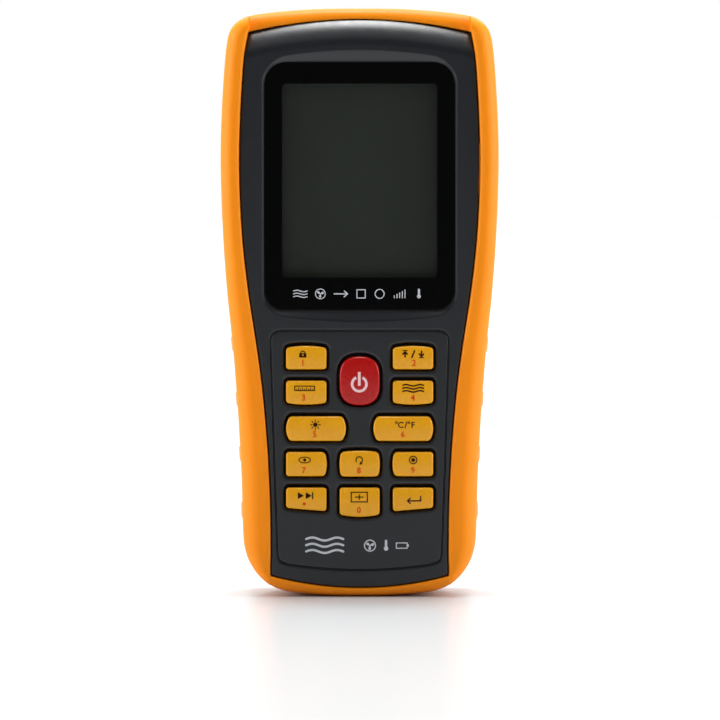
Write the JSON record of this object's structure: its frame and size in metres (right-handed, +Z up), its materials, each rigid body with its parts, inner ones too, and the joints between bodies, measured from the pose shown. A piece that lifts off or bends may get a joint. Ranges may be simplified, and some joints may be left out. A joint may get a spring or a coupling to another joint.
{
  "type": "handheld weather meter",
  "caption": "Handheld air-flow meter body with a large display, a keypad of amber keys, an orange bumper and a round probe socket on its top end.",
  "frame": {"origin": "on the bottom end face, under the middle of the overall box", "axes": "+Z up along the instrument to the probe socket, -Y out of the display and keys, +X to the viewer's right"},
  "size_m": [0.078, 0.036, 0.165],
  "materials": {
    "housing_plastic": "fine-textured charcoal moulding",
    "bumper_rubber": "satin orange soft moulding",
    "window_acrylic": "polished, printed black round a clear viewing area",
    "display_glass": "dark greenish grey, unlit",
    "white_moulding": "plain white moulding",
    "silicone_grey": "matt silicone rubber",
    "board": "green solder mask",
    "black_component": "black moulding",
    "nickel_plate": "nickel plated",
    "wire_red": "red wire covering",
    "wire_black": "black wire covering",
    "key_yellow": "glossy amber yellow",
    "key_red": "glossy red",
    "carbon_pill": "conductive carbon rubber",
    "battery_can": "printed metal can",
    "foam": "soft foam",
    "label_film": "silver grey film",
    "screw_steel": "zinc plated steel"
  },
  "bodies": {
    "meter": {"front_cover": "housing_plastic", "rear_cover": "housing_plastic", "bumper": "bumper_rubber", "display_window": "window_acrylic", "window_tape": "foam", "lcd_glass": "display_glass", "lcd_frame": "white_moulding", "backlight": "white_moulding", "zebra_strip_upper": "silicone_grey", "zebra_strip_lower": "silicone_grey", "main_board": "board", "processor_chip": "black_component", "beeper": "black_component", "usb_socket": "nickel_plate", "probe_socket_shell": "nickel_plate", "probe_socket_insert": "black_component", "probe_socket_nut": "nickel_plate", "probe_harness": "wire_black", "keypad_mat": "silicone_grey", "battery": "battery_can", "battery_snap": "black_component", "battery_lead_red": "wire_red", "battery_lead_black": "wire_black", "battery_pad": "foam", "rear_label": "label_film", "case_screw_bottom_left": "screw_steel", "board_screw_bottom_left": "screw_steel", "case_screw_bottom_right": "screw_steel", "board_screw_bottom_right": "screw_steel", "case_screw_top_left": "screw_steel", "board_screw_top_left": "screw_steel", "case_screw_top_right": "screw_steel", "board_screw_top_right": "screw_steel"},
    "battery_door_body": {"battery_door": "housing_plastic"},
    "key_hold_body": {"key_hold": "key_yellow", "contact_hold": "carbon_pill"},
    "key_max_min_body": {"key_max_min": "key_yellow", "contact_max_min": "carbon_pill"},
    "key_power_body": {"key_power": "key_red", "contact_power": "carbon_pill"},
    "key_unit_body": {"key_unit": "key_yellow", "contact_unit": "carbon_pill"},
    "key_velocity_flow_body": {"key_velocity_flow": "key_yellow", "contact_velocity_flow": "carbon_pill"},
    "key_light_body": {"key_light": "key_yellow", "contact_light": "carbon_pill"},
    "key_temperature_unit_body": {"key_temperature_unit": "key_yellow", "contact_temperature_unit": "carbon_pill"},
    "key_read_body": {"key_read": "key_yellow", "contact_read": "carbon_pill"},
    "key_reset_body": {"key_reset": "key_yellow", "contact_reset": "carbon_pill"},
    "key_record_body": {"key_record": "key_yellow", "contact_record": "carbon_pill"},
    "key_start_next_body": {"key_start_next": "key_yellow", "contact_start_next": "carbon_pill"},
    "key_sample_area_body": {"key_sample_area": "key_yellow", "contact_sample_area": "carbon_pill"},
    "key_option_enter_body": {"key_option_enter": "key_yellow", "contact_option_enter": "carbon_pill"}
  },
  "joints": [
    {"name": "battery_door_tilt", "type": "hinge", "parent": "meter", "child": "battery_door_body", "pos_m": [0, 0.018, 0.00965], "axis": [-1, 0, 0], "range_deg": [0, 40]},
    {"name": "press_hold", "type": "slide", "parent": "meter", "child": "key_hold_body", "axis": [0, 1, 0], "range_m": [0, 0.0011], "stiffness_N_per_m": 1000, "springref_m": -0.0002},
    {"name": "press_max_min", "type": "slide", "parent": "meter", "child": "key_max_min_body", "axis": [0, 1, 0], "range_m": [0, 0.0011], "stiffness_N_per_m": 1000, "springref_m": -0.0002},
    {"name": "press_power", "type": "slide", "parent": "meter", "child": "key_power_body", "axis": [0, 1, 0], "range_m": [0, 0.0011], "stiffness_N_per_m": 1000, "springref_m": -0.0002},
    {"name": "press_unit", "type": "slide", "parent": "meter", "child": "key_unit_body", "axis": [0, 1, 0], "range_m": [0, 0.0011], "stiffness_N_per_m": 1000, "springref_m": -0.0002},
    {"name": "press_velocity_flow", "type": "slide", "parent": "meter", "child": "key_velocity_flow_body", "axis": [0, 1, 0], "range_m": [0, 0.0011], "stiffness_N_per_m": 1000, "springref_m": -0.0002},
    {"name": "press_light", "type": "slide", "parent": "meter", "child": "key_light_body", "axis": [0, 1, 0], "range_m": [0, 0.0011], "stiffness_N_per_m": 1000, "springref_m": -0.0002},
    {"name": "press_temperature_unit", "type": "slide", "parent": "meter", "child": "key_temperature_unit_body", "axis": [0, 1, 0], "range_m": [0, 0.0011], "stiffness_N_per_m": 1000, "springref_m": -0.0002},
    {"name": "press_read", "type": "slide", "parent": "meter", "child": "key_read_body", "axis": [0, 1, 0], "range_m": [0, 0.0011], "stiffness_N_per_m": 1000, "springref_m": -0.0002},
    {"name": "press_reset", "type": "slide", "parent": "meter", "child": "key_reset_body", "axis": [0, 1, 0], "range_m": [0, 0.0011], "stiffness_N_per_m": 1000, "springref_m": -0.0002},
    {"name": "press_record", "type": "slide", "parent": "meter", "child": "key_record_body", "axis": [0, 1, 0], "range_m": [0, 0.0011], "stiffness_N_per_m": 1000, "springref_m": -0.0002},
    {"name": "press_start_next", "type": "slide", "parent": "meter", "child": "key_start_next_body", "axis": [0, 1, 0], "range_m": [0, 0.0011], "stiffness_N_per_m": 1000, "springref_m": -0.0002},
    {"name": "press_sample_area", "type": "slide", "parent": "meter", "child": "key_sample_area_body", "axis": [0, 1, 0], "range_m": [0, 0.0011], "stiffness_N_per_m": 1000, "springref_m": -0.0002},
    {"name": "press_option_enter", "type": "slide", "parent": "meter", "child": "key_option_enter_body", "axis": [0, 1, 0], "range_m": [0, 0.0011], "stiffness_N_per_m": 1000, "springref_m": -0.0002}
  ]
}
